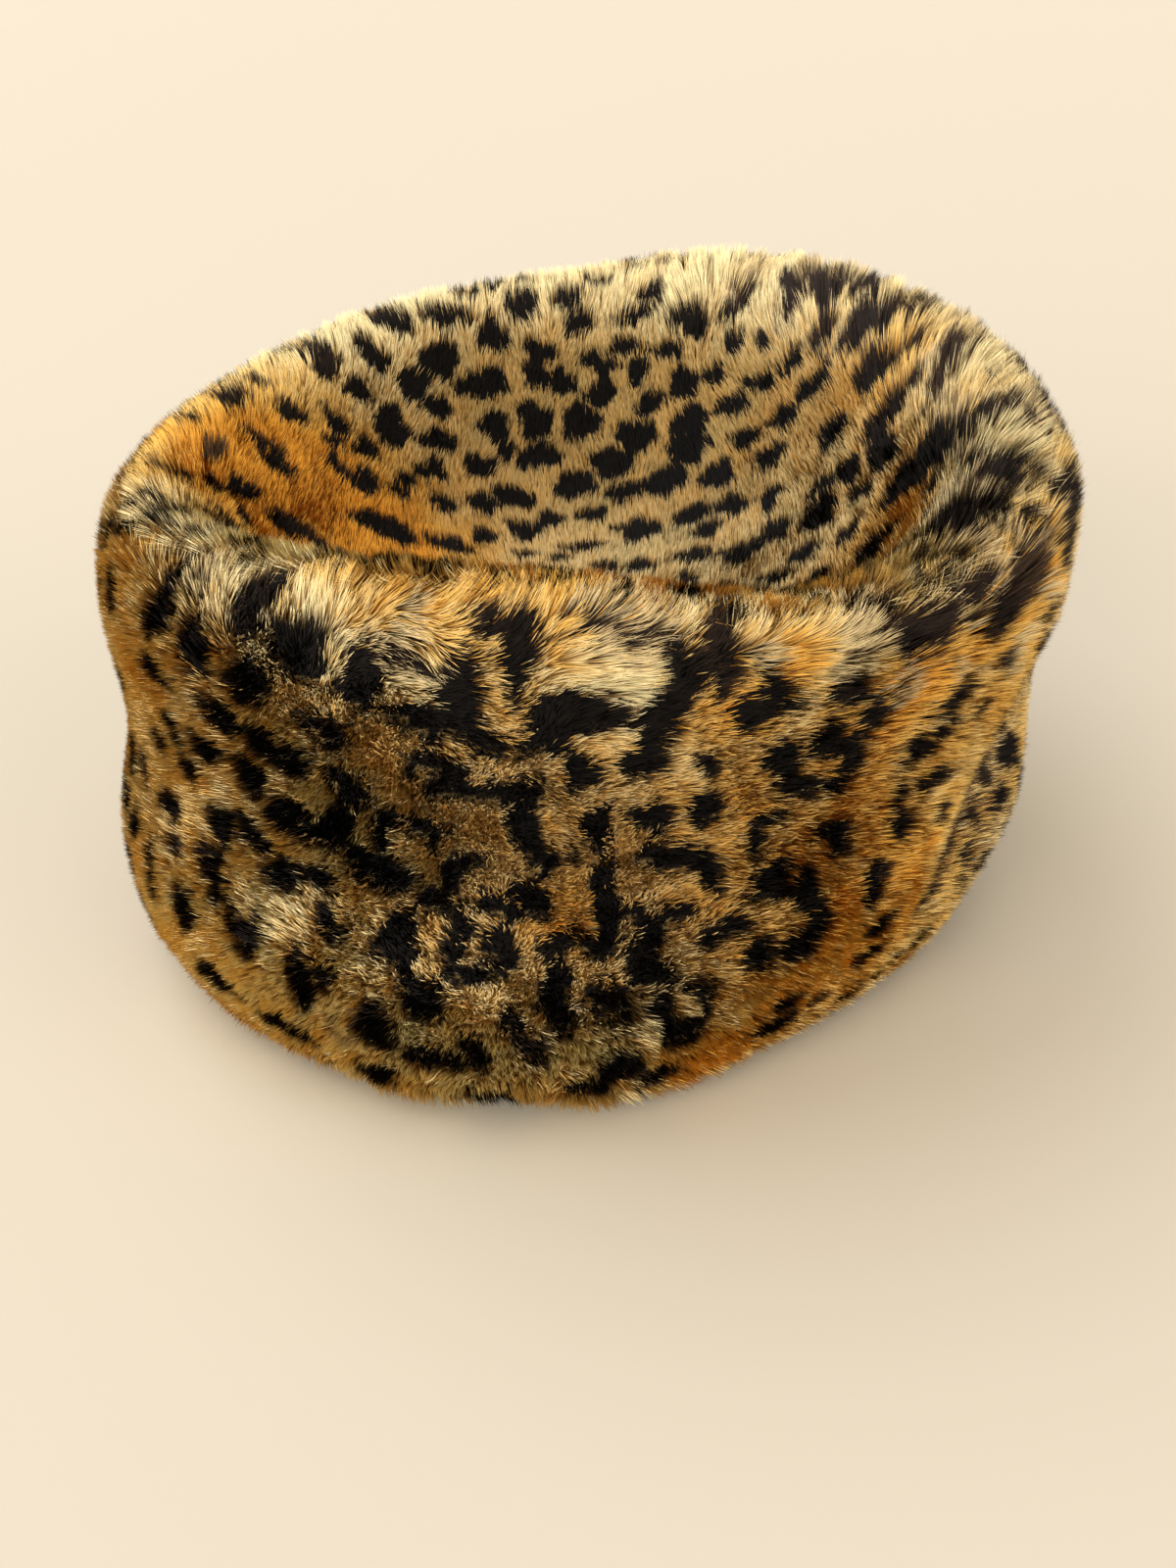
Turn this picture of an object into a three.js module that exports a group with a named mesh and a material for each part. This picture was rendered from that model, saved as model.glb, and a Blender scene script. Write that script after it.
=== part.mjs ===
// A soft pillbox hat of long-pile fur cloth: a side band with a turned-under hem, and a crown sewn to the
// band's top edge and pushed down into a dish. Millimetres, +Z up. The hat stands on its hem at
// z = 0, centred on the Z axis. Its front looks along -Y.
import * as THREE from "three";

// The cloth
const CLOTH = 8; // from the knit back to the tips of the pile, which lies over
const SEAM_GAP = 0.3; // between the sewn edges of the band and the crown
const HEM_FLAT = 5; // width of the strip of hem that is pressed flat where the hat stands
const HEM_ROLL = 6; // the hem's outer edge curls up within this distance

// Heights of the band's belly and waist, and how far under the ridge its shoulder lies
const BELLY_Z = 33;
const WAIST_Z = 60;
const SHOULDER_DROP = 22;

// The rim curls over: this far outside the ridge it has fallen by ROLL_DROP
const ROLL_OUT = 9;
const ROLL_DROP = 4;

// How finely the walls are faceted
const SEGMENTS = 90; // around the hat
const BAND_ROWS = 20; // up the band's outer face
const BAND_BACK_ROWS = 10; // down its knit back
const CROWN_ROWS = 13; // across the crown's upper face
const CROWN_BACK_ROWS = 8; // across its knit back

// The band, a row for each direction, turning from the front (-Y) towards the right (+X). The columns hem,
// belly, waist, shoulder and ridge are radii to the tips of the pile, and top is the height of the ridge.
const SECTIONS = [
  { at: 0, hem: 103, belly: 111, waist: 106, shoulder: 104, ridge: 92, top: 119 },
  { at: 30, hem: 96, belly: 108, waist: 107, shoulder: 108, ridge: 101, top: 110 },
  { at: 60, hem: 98, belly: 112, waist: 111, shoulder: 116, ridge: 105, top: 111 },
  { at: 90, hem: 102, belly: 113, waist: 113, shoulder: 118, ridge: 105, top: 119 },
  { at: 120, hem: 101, belly: 110, waist: 111, shoulder: 118, ridge: 105, top: 127 },
  { at: 150, hem: 100, belly: 109, waist: 109, shoulder: 118, ridge: 107, top: 129 },
  { at: 180, hem: 99, belly: 108, waist: 107, shoulder: 112, ridge: 101, top: 125 },
  { at: 210, hem: 99, belly: 108, waist: 105, shoulder: 106, ridge: 95, top: 122 },
  { at: 240, hem: 100, belly: 109, waist: 104, shoulder: 102, ridge: 91, top: 117 },
  { at: 270, hem: 102, belly: 111, waist: 105, shoulder: 104, ridge: 91, top: 114 },
  { at: 300, hem: 104, belly: 114, waist: 106, shoulder: 108, ridge: 94, top: 115 },
  { at: 330, hem: 103, belly: 113, waist: 106, shoulder: 107, ridge: 92, top: 119 },
];

// Dents and swells of the band: where they are, by how many degrees they turn for each millimetre of height, how
// far they spread, and how far they push the wall out
const FOLDS = [
  { name: "crease beside the right seam", at: 56, slant: 0.42, z: 45, spread: 6, tall: 20, push: -7 },
  { name: "swell behind the crease", at: 70, slant: 0.42, z: 40, spread: 9, tall: 20, push: 1.5 },
];

// Where the hem lifts off the surface
const ARCHES = [{ name: "front", at: -6, spread: 5, lift: 3.5 }];

// The dish that the crown is pushed into: its lowest point, and how the cloth falls from the ridge to there.
// inward goes from 0 at the ridge to 1 at the lowest point, and fall from 0 to 1 over the dish's depth.
const DISH = { x: 0, y: -4, floor: 72 };
const DISH_FALL = [
  { inward: 0, fall: 0 },
  { inward: 0.09, fall: 0.06 },
  { inward: 0.2, fall: 0.3 },
  { inward: 0.33, fall: 0.64 },
  { inward: 0.46, fall: 0.84 },
  { inward: 0.64, fall: 0.95 },
  { inward: 1, fall: 1 },
];

// A column of SECTIONS as a smooth closed function of the angle in degrees
function aroundTheHat(column) {
  const knots = SECTIONS.map((row) => new THREE.Vector3(row[column], 0, 0));
  const curve = new THREE.CatmullRomCurve3(knots, true, "catmullrom", 0.5);
  return (angle) => curve.getPoint(THREE.MathUtils.euclideanModulo(angle, 360) / 360).x;
}

const hem = aroundTheHat("hem");
const belly = aroundTheHat("belly");
const waist = aroundTheHat("waist");
const shoulder = aroundTheHat("shoulder");
const ridge = aroundTheHat("ridge");
const top = aroundTheHat("top");

// 1 at no distance, and close to nothing at twice the spread
const bump = (distance, spread) => Math.exp(-((distance / spread) ** 2));

// The turn from one angle to another, between -180 and 180 degrees
const turn = (from, to) => THREE.MathUtils.euclideanModulo(to - from + 180, 360) - 180;

function foldPush(angle, z) {
  let push = 0;
  for (const fold of FOLDS) {
    const middle = fold.at + fold.slant * (z - fold.z);
    push += fold.push * bump(turn(middle, angle), fold.spread) * bump(z - fold.z, fold.tall);
  }
  return push;
}

function hemLift(angle) {
  let lift = 0;
  for (const arch of ARCHES) {
    lift += arch.lift * bump(turn(arch.at, angle), arch.spread);
  }
  return lift;
}

// A point at a radius and height, set out at an angle
function setOut(angle, radius, z) {
  const a = THREE.MathUtils.degToRad(angle);
  return new THREE.Vector3(radius * Math.sin(a), -radius * Math.cos(a), z);
}

// The side of a line of radii and heights that is on the right of its run, at point i of it
function rightSide(line, i) {
  const before = line[Math.max(i - 1, 0)];
  const after = line[Math.min(i + 1, line.length - 1)];
  return new THREE.Vector2(after.y - before.y, before.x - after.x).normalize();
}

// The band's outer face at an angle, from the hem's outer edge up to the ridge, as radii and heights
function bandFace(angle) {
  const lift = hemLift(angle);
  const spline = new THREE.SplineCurve([
    new THREE.Vector2(hem(angle), lift),
    new THREE.Vector2(hem(angle) + HEM_ROLL, lift + HEM_ROLL),
    new THREE.Vector2(belly(angle), BELLY_Z),
    new THREE.Vector2(waist(angle), WAIST_Z),
    new THREE.Vector2(shoulder(angle), top(angle) - SHOULDER_DROP),
    new THREE.Vector2(ridge(angle) + ROLL_OUT, top(angle) - ROLL_DROP),
    new THREE.Vector2(ridge(angle), top(angle)),
  ]);
  const face = spline.getPoints(BAND_ROWS);
  for (const point of face) {
    point.x += foldPush(angle, point.y);
  }
  return face;
}

// The band's closed section at an angle: the hem's flat, the outer face, the sewn edge and the knit back
function bandSection(angle) {
  const face = bandFace(angle);
  const flat = new THREE.Vector2(face[0].x - HEM_FLAT, face[0].y);
  const back = [new THREE.Vector2(ridge(angle), top(angle) - CLOTH)];
  for (let row = BAND_BACK_ROWS - 1; row >= 0; row -= 1) {
    const i = Math.round((BAND_ROWS * row) / BAND_BACK_ROWS);
    back.push(face[i].clone().addScaledVector(rightSide(face, i), -CLOTH));
  }
  return [flat, ...face, ...back].map((p) => setOut(angle, p.x, p.y));
}

const fallCurve = new THREE.SplineCurve(DISH_FALL.map((row) => new THREE.Vector2(row.inward, row.fall)));
const lowest = new THREE.Vector3(DISH.x, DISH.y, DISH.floor);

// A line across the crown at an angle, from its sewn edge towards the dish's lowest point, and a depth
// below the tips of the pile. The lowest point itself is left to the caller.
function crownLine(angle, rows, depth) {
  const edge = setOut(angle, ridge(angle) - SEAM_GAP, top(angle));
  const inward = lowest.clone().sub(edge).setZ(0);
  const run = inward.length();
  inward.normalize();
  const face = fallCurve
    .getPoints(rows)
    .map((p) => new THREE.Vector2(p.x * run, THREE.MathUtils.lerp(edge.z, lowest.z, p.y)));
  const sunk = face.map((p, i) => p.clone().addScaledVector(rightSide(face, i), depth));
  sunk[0] = new THREE.Vector2(0, edge.z - depth);
  return sunk.slice(0, rows).map((p) => edge.clone().addScaledVector(inward, p.x).setZ(p.y));
}

// The crown's section at an angle: its knit back from the middle outwards, then its upper face back in
function crownSection(angle) {
  return [...crownLine(angle, CROWN_BACK_ROWS, CLOTH).reverse(), ...crownLine(angle, CROWN_ROWS, 0)];
}

// A closed mesh from sections set out round the hat, each with as many points. Without poles the last point
// of a section joins its first. With poles the sections all start at the first pole and end at the second.
function lathed(sections, poles = []) {
  const rows = sections[0].length;
  const corners = [...sections.flat(), ...poles];
  const start = sections.length * rows;
  const end = start + 1;
  const index = [];
  for (let s = 0; s < sections.length; s += 1) {
    const here = s * rows;
    const next = ((s + 1) % sections.length) * rows;
    const last = rows - 1;
    for (let row = 0; row < last; row += 1) {
      index.push(here + row, next + row, next + row + 1);
      index.push(here + row, next + row + 1, here + row + 1);
    }
    if (poles.length === 0) {
      index.push(here + last, next + last, next, here + last, next, here);
    } else {
      index.push(start, next, here, here + last, next + last, end);
    }
  }
  const geometry = new THREE.BufferGeometry();
  const positions = corners.flatMap((corner) => corner.toArray());
  geometry.setAttribute("position", new THREE.Float32BufferAttribute(positions, 3));
  geometry.setIndex(index);
  return geometry;
}

function furPiece(name, geometry, color) {
  const piece = new THREE.Mesh(geometry, new THREE.MeshStandardMaterial({ color, roughness: 0.9, metalness: 0 }));
  piece.name = name;
  return piece;
}

const angles = Array.from({ length: SEGMENTS }, (_, i) => (360 * i) / SEGMENTS);
const underneath = lowest.clone().setZ(DISH.floor - CLOTH);

const hat = new THREE.Group();
hat.add(furPiece("side_band", lathed(angles.map(bandSection)), 0xb08a55));
hat.add(furPiece("crown_tip", lathed(angles.map(crownSection), [underneath, lowest]), 0xa98350));

// The rim leans a little to one side, so the hat is moved to bring its middle onto the Z axis
const middle = new THREE.Box3().setFromObject(hat).getCenter(new THREE.Vector3());
for (const piece of hat.children) {
  piece.geometry.translate(-middle.x, -middle.y, 0);
}

export default hat;
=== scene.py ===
import math
from collections import namedtuple

import bmesh
import bpy
import numpy as np
from mathutils import Matrix, Vector
from mathutils.bvhtree import BVHTree


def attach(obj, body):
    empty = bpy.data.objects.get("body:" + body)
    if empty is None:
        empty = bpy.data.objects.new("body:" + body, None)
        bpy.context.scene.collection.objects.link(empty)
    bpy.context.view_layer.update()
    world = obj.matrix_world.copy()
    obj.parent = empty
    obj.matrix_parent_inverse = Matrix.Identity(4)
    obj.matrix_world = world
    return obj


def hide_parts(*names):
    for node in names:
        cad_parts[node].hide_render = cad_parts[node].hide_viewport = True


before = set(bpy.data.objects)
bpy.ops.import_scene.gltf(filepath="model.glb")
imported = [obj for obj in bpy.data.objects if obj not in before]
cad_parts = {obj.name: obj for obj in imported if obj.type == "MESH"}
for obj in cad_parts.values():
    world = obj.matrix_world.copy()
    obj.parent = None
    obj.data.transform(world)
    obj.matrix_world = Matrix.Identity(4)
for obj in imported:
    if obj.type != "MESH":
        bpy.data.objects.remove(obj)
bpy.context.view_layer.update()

# Side band cloth
# The band is one strip of fur cloth, sewn into a ring and turned under along its lower edge. The pile
# grows from a thin knit back, which is bare on the inside of the hat. The dye of the print goes down to
# the short wool at the foot of the pile.
MM = 0.001
BAND_PILE_DEPTH = 4.2 * MM
HEM_HEIGHT = 6 * MM
KNIT_DARK = (128, 100, 68)
KNIT_LIGHT = (170, 140, 102)
KNIT_RIBS = 190
CLOTH_GRAIN = 700
WOOL_HEIGHT = 0.35

# Shades of the fur from the reddest through gold and cream to black, at the root and at the tip of a hair
SHADES = [
    # place, root, tip
    (0.00, (168, 92, 8), (250, 172, 54)),
    (0.15, (166, 104, 24), (248, 192, 86)),
    (0.35, (160, 114, 46), (244, 206, 122)),
    (0.55, (172, 134, 72), (252, 236, 184)),
    (0.66, (136, 114, 64), (236, 226, 178)),
    (0.70, (34, 22, 12), (230, 206, 156)),
    (0.75, (50, 34, 18), (108, 80, 54)),
    (0.85, (15, 10, 8), (46, 35, 29)),
    (1.00, (4, 3, 2), (11, 9, 8)),
]


def srgb(red, green, blue):
    """A colour of 0 to 255, as the linear values that shaders take."""
    channels = []
    for value in (red, green, blue):
        share = value / 255
        channels.append(share / 12.92 if share <= 0.04045 else ((share + 0.055) / 1.055) ** 2.4)
    return (*channels, 1.0)


def shade_ramp(nodes, column):
    """A colour ramp of the fur's shades, by a column of SHADES."""
    node = nodes.new("ShaderNodeValToRGB")
    stops = node.color_ramp.elements
    while len(stops) < len(SHADES):
        stops.new(0.5)
    for stop, row in zip(stops, SHADES):
        stop.position = row[0]
        stop.color = srgb(*row[column])
    return node


# The colour of a hair by its shade and by the height along it
hair_colour = bpy.data.node_groups.new("hair colour", "ShaderNodeTree")
hair_colour.interface.new_socket("Shade", in_out="INPUT", socket_type="NodeSocketFloat")
hair_colour.interface.new_socket("Height", in_out="INPUT", socket_type="NodeSocketFloat")
hair_colour.interface.new_socket("Colour", in_out="OUTPUT", socket_type="NodeSocketColor")
nodes = hair_colour.nodes
links = hair_colour.links
taken = nodes.new("NodeGroupInput")
given = nodes.new("NodeGroupOutput")
root_shade = shade_ramp(nodes, 1)
tip_shade = shade_ramp(nodes, 2)
links.new(taken.outputs["Shade"], root_shade.inputs["Fac"])
links.new(taken.outputs["Shade"], tip_shade.inputs["Fac"])
fade = nodes.new("ShaderNodeMapRange")
fade.interpolation_type = "SMOOTHSTEP"
fade.inputs["From Min"].default_value = 0.15
fade.inputs["From Max"].default_value = 0.85
links.new(taken.outputs["Height"], fade.inputs["Value"])
blend = nodes.new("ShaderNodeMix")
blend.data_type = "RGBA"
links.new(fade.outputs["Result"], blend.inputs["Factor"])
links.new(root_shade.outputs["Color"], blend.inputs["A"])
links.new(tip_shade.outputs["Color"], blend.inputs["B"])
links.new(blend.outputs["Result"], given.inputs["Colour"])

# The fine grain of wool and yarn
cloth_grain = bpy.data.node_groups.new("cloth grain", "ShaderNodeTree")
cloth_grain.interface.new_socket("Grain", in_out="OUTPUT", socket_type="NodeSocketFloat")
cloth_grain.interface.new_socket("Roughness", in_out="OUTPUT", socket_type="NodeSocketFloat")
nodes = cloth_grain.nodes
links = cloth_grain.links
given = nodes.new("NodeGroupOutput")
where = nodes.new("ShaderNodeTexCoord")
noise = nodes.new("ShaderNodeTexNoise")
noise.inputs["Scale"].default_value = CLOTH_GRAIN
noise.inputs["Detail"].default_value = 3
links.new(where.outputs["Object"], noise.inputs["Vector"])
links.new(noise.outputs["Fac"], given.inputs["Grain"])
rough = nodes.new("ShaderNodeMapRange")
rough.inputs["To Min"].default_value = 0.8
rough.inputs["To Max"].default_value = 1.0
links.new(noise.outputs["Fac"], rough.inputs["Value"])
links.new(rough.outputs["Result"], given.inputs["Roughness"])

# The dyed wool under the pile
underfur = bpy.data.materials.new("underfur")
underfur.use_nodes = True
nodes = underfur.node_tree.nodes
links = underfur.node_tree.links
shader = nodes["Principled BSDF"]
dyed = nodes.new("ShaderNodeAttribute")
dyed.attribute_name = "shade"
colour = nodes.new("ShaderNodeGroup")
colour.node_tree = hair_colour
colour.inputs["Height"].default_value = WOOL_HEIGHT
links.new(dyed.outputs["Fac"], colour.inputs["Shade"])
links.new(colour.outputs["Colour"], shader.inputs["Base Color"])
grain = nodes.new("ShaderNodeGroup")
grain.node_tree = cloth_grain
links.new(grain.outputs["Roughness"], shader.inputs["Roughness"])
bump = nodes.new("ShaderNodeBump")
bump.inputs["Strength"].default_value = 0.5
bump.inputs["Distance"].default_value = 0.5 * MM
links.new(grain.outputs["Grain"], bump.inputs["Height"])
links.new(bump.outputs["Normal"], shader.inputs["Normal"])

# The knit back, in fine level ribs
knit = bpy.data.materials.new("knit back")
knit.use_nodes = True
nodes = knit.node_tree.nodes
links = knit.node_tree.links
shader = nodes["Principled BSDF"]
shader.inputs["Specular IOR Level"].default_value = 0.2
grain = nodes.new("ShaderNodeGroup")
grain.node_tree = cloth_grain
links.new(grain.outputs["Roughness"], shader.inputs["Roughness"])
tint = nodes.new("ShaderNodeMix")
tint.data_type = "RGBA"
tint.inputs["A"].default_value = srgb(*KNIT_DARK)
tint.inputs["B"].default_value = srgb(*KNIT_LIGHT)
links.new(grain.outputs["Grain"], tint.inputs["Factor"])
links.new(tint.outputs["Result"], shader.inputs["Base Color"])
where = nodes.new("ShaderNodeTexCoord")
rib = nodes.new("ShaderNodeTexWave")
rib.bands_direction = "Z"
rib.inputs["Scale"].default_value = KNIT_RIBS
rib.inputs["Distortion"].default_value = 1.5
rib.inputs["Detail Scale"].default_value = 4
links.new(where.outputs["Object"], rib.inputs["Vector"])
relief = nodes.new("ShaderNodeMath")
relief.operation = "ADD"
links.new(rib.outputs["Fac"], relief.inputs[0])
links.new(grain.outputs["Grain"], relief.inputs[1])
bump = nodes.new("ShaderNodeBump")
bump.inputs["Strength"].default_value = 0.5
bump.inputs["Distance"].default_value = 0.4 * MM
links.new(relief.outputs["Value"], bump.inputs["Height"])
links.new(bump.outputs["Normal"], shader.inputs["Normal"])


def fur_side_of_band(normal, centre):
    """True for a face of the band that pile grows on: it looks outwards or up, or is the hem's flat."""
    outwards = Vector((centre.x, centre.y, 0)).normalized()
    is_hem_flat = normal.z < -0.7 and centre.z < HEM_HEIGHT
    return is_hem_flat or normal.z > 0.3 or normal.dot(outwards) > 0.05


FUR_SIDE = 0
KNIT_SIDE = 1


def cut_cloth(node, name, pile_depth, fur_side):
    """A copy of a CAD node as bare cloth: the faces with pile move in by the pile's depth."""
    bpy.ops.object.select_all(action="DESELECT")
    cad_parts[node].select_set(True)
    bpy.context.view_layer.objects.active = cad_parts[node]
    bpy.ops.object.duplicate()
    cloth = bpy.context.object
    cloth.name = name
    for key in list(cloth.keys()):
        del cloth[key]
    cloth.data.materials.clear()
    bpy.ops.object.mode_set(mode="EDIT")
    bpy.ops.mesh.select_all(action="SELECT")
    bpy.ops.mesh.remove_doubles(threshold=0.01 * MM)
    bpy.ops.mesh.tris_convert_to_quads(face_threshold=1.2, shape_threshold=1.2)
    bpy.ops.object.mode_set(mode="OBJECT")

    mesh = bmesh.new()
    mesh.from_mesh(cloth.data)
    moves = {}
    for face in mesh.faces:
        has_pile = fur_side(face.normal, face.calc_center_median())
        face.material_index = FUR_SIDE if has_pile else KNIT_SIDE
        if has_pile:
            for corner in face.verts:
                moves.setdefault(corner, Vector())
                moves[corner] += face.normal * face.calc_area()
    for corner, normal in moves.items():
        corner.co -= normal.normalized() * pile_depth
    mesh.to_mesh(cloth.data)
    mesh.free()

    smooth = cloth.modifiers.new("smooth", "SUBSURF")
    smooth.levels = 2
    smooth.render_levels = 2
    bpy.ops.object.modifier_apply(modifier=smooth.name)
    bpy.ops.object.shade_smooth()
    cloth.data.materials.append(underfur)
    cloth.data.materials.append(knit)
    return cloth


band_cloth = cut_cloth("side_band", "side_band_cloth", BAND_PILE_DEPTH, fur_side_of_band)
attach(band_cloth, "root")
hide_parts("side_band")

# Crown cloth
# The crown is a round of the same cloth with a shorter pile. It is sewn to the band along the rim's ridge and
# pushed down into a dish.
CROWN_PILE_DEPTH = 3.2 * MM


def fur_side_of_crown(normal, centre):
    """True for a face of the crown that pile grows on: it looks up."""
    return normal.z > 0.05


crown_cloth = cut_cloth("crown_tip", "crown_cloth", CROWN_PILE_DEPTH, fur_side_of_crown)
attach(crown_cloth, "root")
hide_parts("crown_tip")

# Pile of the side band
# The pile is a soft, shiny fur of fine fibre, knitted into the cloth and printed with a leopard's marks.
# It is combed up and round the hat, and wear has opened it in tufts along the rim.
rng = np.random.default_rng(7)
BAND_HAIRS = 590000
HAIR_LENGTH = 5.2
RIM_LENGTH = 1.0
SHAG_LENGTH = 4.4
LENGTH_SPREAD = (0.8, 1.12)
HAIR_WIDTH = (0.34, 0.5)
COAT_SHADE = 0.42
COAT_SHADES = (0.04, 0.65)
INK_SHADES = (0.74, 0.988)
BLEACH_RANGE = (0.3, 0.98)


def unit(vectors):
    return vectors / np.maximum(np.linalg.norm(vectors, axis=1, keepdims=True), 1e-12)


def step(low, high, values):
    """0 below low, 1 above high and smooth between."""
    share = np.clip((values - low) / (high - low), 0, 1)
    return share * share * (3 - 2 * share)


def ripple(points, wavelength, seed):
    """Smooth noise between about -1 and 1, a sum of waves in chance directions."""
    waves = np.random.default_rng(seed)
    total = np.zeros(len(points))
    for _ in range(6):
        direction = waves.normal(size=3)
        direction *= 2 * math.pi / wavelength * waves.uniform(0.7, 1.4) / np.linalg.norm(direction)
        total += np.sin(points @ direction + waves.uniform(0, 2 * math.pi))
    return total / 3


def cloth_places(cloth):
    """The corners of a cloth and their normals."""
    places = np.empty(len(cloth.data.vertices) * 3)
    cloth.data.vertices.foreach_get("co", places)
    normals = np.empty(len(cloth.data.vertices) * 3)
    cloth.data.vertices.foreach_get("normal", normals)
    return places.reshape(-1, 3), normals.reshape(-1, 3)


def scatter(cloth, count):
    """Roots spread evenly over the fur side of a cloth: their places and normals."""
    mesh = cloth.data
    mesh.calc_loop_triangles()
    places, normals = cloth_places(cloth)
    triangles = np.empty(len(mesh.loop_triangles) * 3, int)
    mesh.loop_triangles.foreach_get("vertices", triangles)
    sides = np.empty(len(mesh.loop_triangles), int)
    mesh.loop_triangles.foreach_get("material_index", sides)
    triangles = triangles.reshape(-1, 3)[sides == FUR_SIDE]

    a, b, c = (places[triangles[:, i]] for i in range(3))
    area = np.linalg.norm(np.cross(b - a, c - a), axis=1)
    share = np.cumsum(area) / area.sum()
    pick = np.searchsorted(share, (np.arange(count) + rng.random(count)) / count)
    corners = triangles[np.minimum(pick, len(triangles) - 1)]
    u = np.sqrt(rng.random(count))
    v = rng.random(count)
    weights = np.stack([1 - u, u * (1 - v), u * v], axis=1)[:, :, None]
    return (places[corners] * weights).sum(axis=1), unit((normals[corners] * weights).sum(axis=1))


def pile_surface(node):
    """The outer form of a CAD node, to drop rays on."""
    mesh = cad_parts[node].data
    return BVHTree.FromPolygons([v.co for v in mesh.vertices], [p.vertices for p in mesh.polygons])


Mark = namedtuple("Mark", "place along across half_wide half_tall ink phases")
MARK_GROWTH = 1.13
EDGE = 1.4 * MM
BROAD_WAVE = 7 * MM
BROAD_WOBBLE = 0.7 * MM
FINE_WAVE = 2.6 * MM
FINE_WOBBLE = 0.45 * MM
CHANCES = 9000
ROSETTE = 10
SPOT = (3.2, 5.2)


def mark_at(place, normal, right, wide, tall, tip, ink):
    """One mark of the print, laid on the cloth. Its right end is tipped up by so many degrees."""
    right = np.array(right) - np.dot(right, normal) * np.array(normal)
    right /= np.linalg.norm(right)
    above = np.cross(normal, right)
    tip = math.radians(tip)
    along = right * math.cos(tip) + above * math.sin(tip)
    across = above * math.cos(tip) - right * math.sin(tip)
    half_wide = MARK_GROWTH * wide / 2 * MM
    half_tall = MARK_GROWTH * tall / 2 * MM
    return Mark(np.array(place), along, across, half_wide, half_tall, ink, rng.uniform(0, 2 * math.pi, 3))


def printed(points, marks):
    """How surely each point is dark, from 0 to 1, and how black the ink is there."""
    broad = np.stack([ripple(points, BROAD_WAVE, seed) for seed in (11, 12, 13)], axis=1)
    fine = np.stack([ripple(points, FINE_WAVE, seed) for seed in (14, 15, 16)], axis=1)
    moved = points + BROAD_WOBBLE * broad + FINE_WOBBLE * fine
    dark = np.zeros(len(points))
    black = np.ones(len(points))
    for mark in marks:
        reach = 1.4 * max(mark.half_wide, mark.half_tall)
        near = np.flatnonzero((np.abs(moved - mark.place) < reach).all(axis=1))
        offset = moved[near] - mark.place
        x = offset @ mark.along / mark.half_wide
        y = offset @ mark.across / mark.half_tall
        turn = np.arctan2(y, x)
        edge = 1 + 0.1 * np.sin(2 * turn + mark.phases[0]) + 0.1 * np.sin(3 * turn + mark.phases[1])
        edge += 0.06 * np.sin(5 * turn + mark.phases[2])
        cover = step(-EDGE, EDGE, (edge - np.hypot(x, y)) * min(mark.half_wide, mark.half_tall))
        black[near] = np.where(cover > dark[near], mark.ink, black[near])
        dark[near] = np.maximum(dark[near], cover)
    return dark, black


def chance_marks(points, normals, taken, spacing, rosette_share):
    """Spots and rosettes strewn over the points, clear of each other and of the marks already taken."""
    places = [mark.place for mark in taken]
    reaches = [0.9 * max(mark.half_wide, mark.half_tall) for mark in taken]
    made = []
    for i in rng.permutation(len(points))[:CHANCES]:
        is_rosette = rng.random() < rosette_share
        half = (ROSETTE if is_rosette else rng.uniform(*SPOT)) * MM
        if places:
            apart = np.linalg.norm(np.array(places) - points[i], axis=1)
            if (apart < np.array(reaches) + half + spacing).any():
                continue
        places.append(points[i])
        reaches.append(half)
        normal = normals[i]
        right = unit(np.cross(normal, rng.normal(size=3))[None])[0]
        if not is_rosette:
            stretch = rng.uniform(0.85, 1.25)
            size = 2 * half / MM
            made.append(mark_at(points[i], normal, right, size * stretch, size / stretch, 0, 1.0))
            continue
        above = np.cross(normal, right)
        for part in range(rng.integers(3, 6)):
            turn = 75 * part + rng.uniform(-12, 12)
            a = math.radians(turn)
            place = points[i] + 0.7 * half * (right * math.cos(a) + above * math.sin(a))
            wide = rng.uniform(6.5, 9.5)
            made.append(mark_at(place, normal, right, wide, rng.uniform(4.5, 6.5), turn + 90, 1.0))
    return made


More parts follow.
